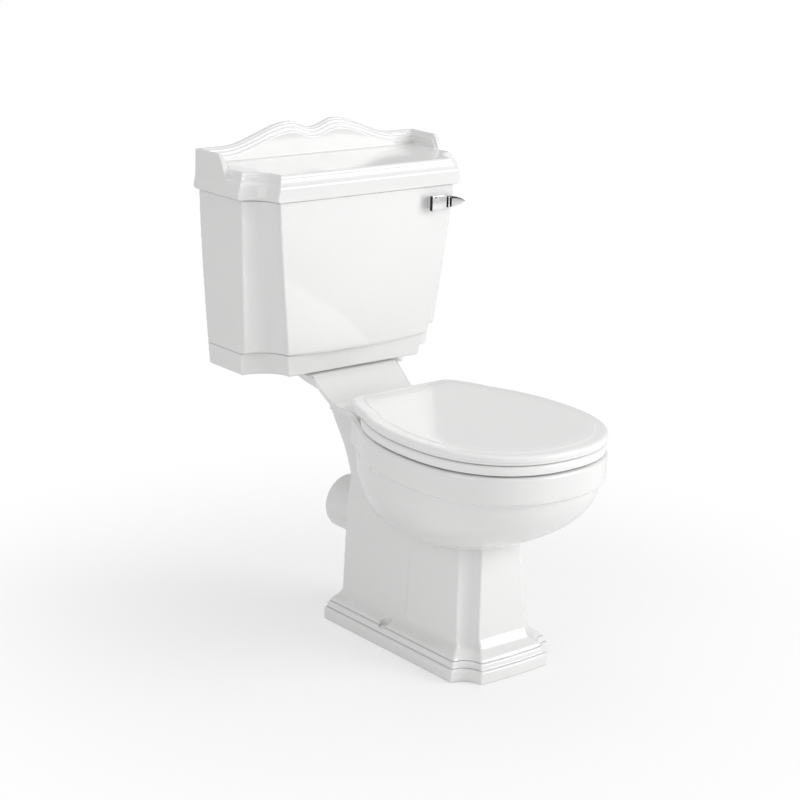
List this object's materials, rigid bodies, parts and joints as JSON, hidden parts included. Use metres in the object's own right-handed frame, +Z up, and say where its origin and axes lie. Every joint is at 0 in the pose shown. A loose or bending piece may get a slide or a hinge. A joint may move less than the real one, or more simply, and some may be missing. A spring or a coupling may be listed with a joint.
{
  "type": "two-piece toilet with lift-off cistern lid",
  "caption": "White two-piece toilet: pan with hinged seat and cover, cistern on the pan's shelf with a moulded gallery on its lid, and a side-pointing flush lever.",
  "frame": {"origin": "on the floor, under the middle of the whole toilet's plan", "axes": "+Z up; +Y towards the wall the cistern stands at, so the bowl's front points along -Y; +X to the side of the flush lever, which is the right-hand side for a person facing the toilet"},
  "size_m": [0.498, 0.717, 0.8622],
  "materials": {
    "vitreous_china": "smooth white glaze on vitreous china, high gloss",
    "seat_plastic": "moulded white thermoset, gloss",
    "chrome_plate": "polished chrome plate",
    "stainless_steel": "plain turned stainless steel",
    "yellow_brass": "plain turned brass",
    "black_rubber": "moulded rubber, matte",
    "clear_grey_rubber": "soft moulded buffer, satin",
    "white_plastic": "moulded plastic, satin",
    "grey_plastic": "moulded plastic, satin"
  },
  "bodies": {
    "pan_and_cistern": {"pan": "vitreous_china", "cistern": "vitreous_china", "hinge_posts": "chrome_plate", "hinge_bases": "chrome_plate", "hinge_pins": "stainless_steel", "hinge_pin_caps": "chrome_plate", "hinge_bolts": "stainless_steel", "hinge_washers": "black_rubber", "hinge_nuts": "white_plastic", "lever_rose": "chrome_plate", "lever_bush": "grey_plastic", "lever_bush_nut": "grey_plastic", "siphon_body": "white_plastic", "siphon_seal": "black_rubber", "siphon_back_nut": "white_plastic", "doughnut_seal": "black_rubber", "coupling_bolts": "yellow_brass", "coupling_seals": "black_rubber", "coupling_nuts": "yellow_brass", "coupling_washers": "black_rubber", "coupling_lower_nuts": "yellow_brass", "valve_body": "white_plastic", "valve_head": "grey_plastic", "valve_seal": "black_rubber", "valve_back_nut": "white_plastic", "float_arm_pin": "stainless_steel", "floor_screw_caps": "white_plastic"},
    "tank_lid": {"cistern_lid": "vitreous_china"},
    "seat": {"seat_ring": "seat_plastic", "seat_buffers": "clear_grey_rubber"},
    "seat_cover": {"seat_lid": "seat_plastic", "lid_buffers": "clear_grey_rubber"},
    "lever": {"lever_handle": "chrome_plate", "lever_spindle": "stainless_steel", "lever_arm": "white_plastic", "lever_arm_screw": "yellow_brass"},
    "siphon_lift": {"siphon_lift_rod": "stainless_steel", "siphon_plate": "grey_plastic", "lift_link": "yellow_brass"},
    "float": {"float_cup": "grey_plastic", "float_link": "stainless_steel"},
    "float_arm": {"float_arm": "white_plastic"}
  },
  "joints": [
    {"name": "seat_hinge", "type": "hinge", "parent": "pan_and_cistern", "child": "seat", "pos_m": [0, 0.0735, 0.404], "axis": [-1, 0, 0], "range_deg": [0, 97]},
    {"name": "seat_cover_hinge", "type": "hinge", "parent": "seat", "child": "seat_cover", "pos_m": [0, 0.0735, 0.404], "axis": [1, 0, 0], "range_deg": [-98, 0]},
    {"name": "tank_lid_lift", "type": "slide", "parent": "pan_and_cistern", "child": "tank_lid", "axis": [0, 0, 1], "range_m": [0, 0.13]},
    {"name": "lever_turn", "type": "hinge", "parent": "pan_and_cistern", "child": "lever", "pos_m": [0.148, 0.1765, 0.7285], "axis": [0, 1, 0], "range_deg": [0, 24]},
    {"name": "siphon_lift_slide", "type": "slide", "parent": "pan_and_cistern", "child": "siphon_lift", "axis": [0, 0, 1], "range_m": [0, 0.04]},
    {"name": "float_slide", "type": "slide", "parent": "pan_and_cistern", "child": "float", "axis": [0, 0, 1], "range_m": [0, 0.012]},
    {"name": "float_arm_turn", "type": "hinge", "parent": "pan_and_cistern", "child": "float_arm", "pos_m": [0.17, 0.2705, 0.678], "axis": [0, 1, 0], "range_deg": [0, 18]}
  ],
  "couplings": [
    {"joint": "siphon_lift_slide", "follows": "lever_turn", "m_per_rad": 0.0875},
    {"joint": "float_arm_turn", "follows": "float_slide", "rad_per_m": 25}
  ]
}
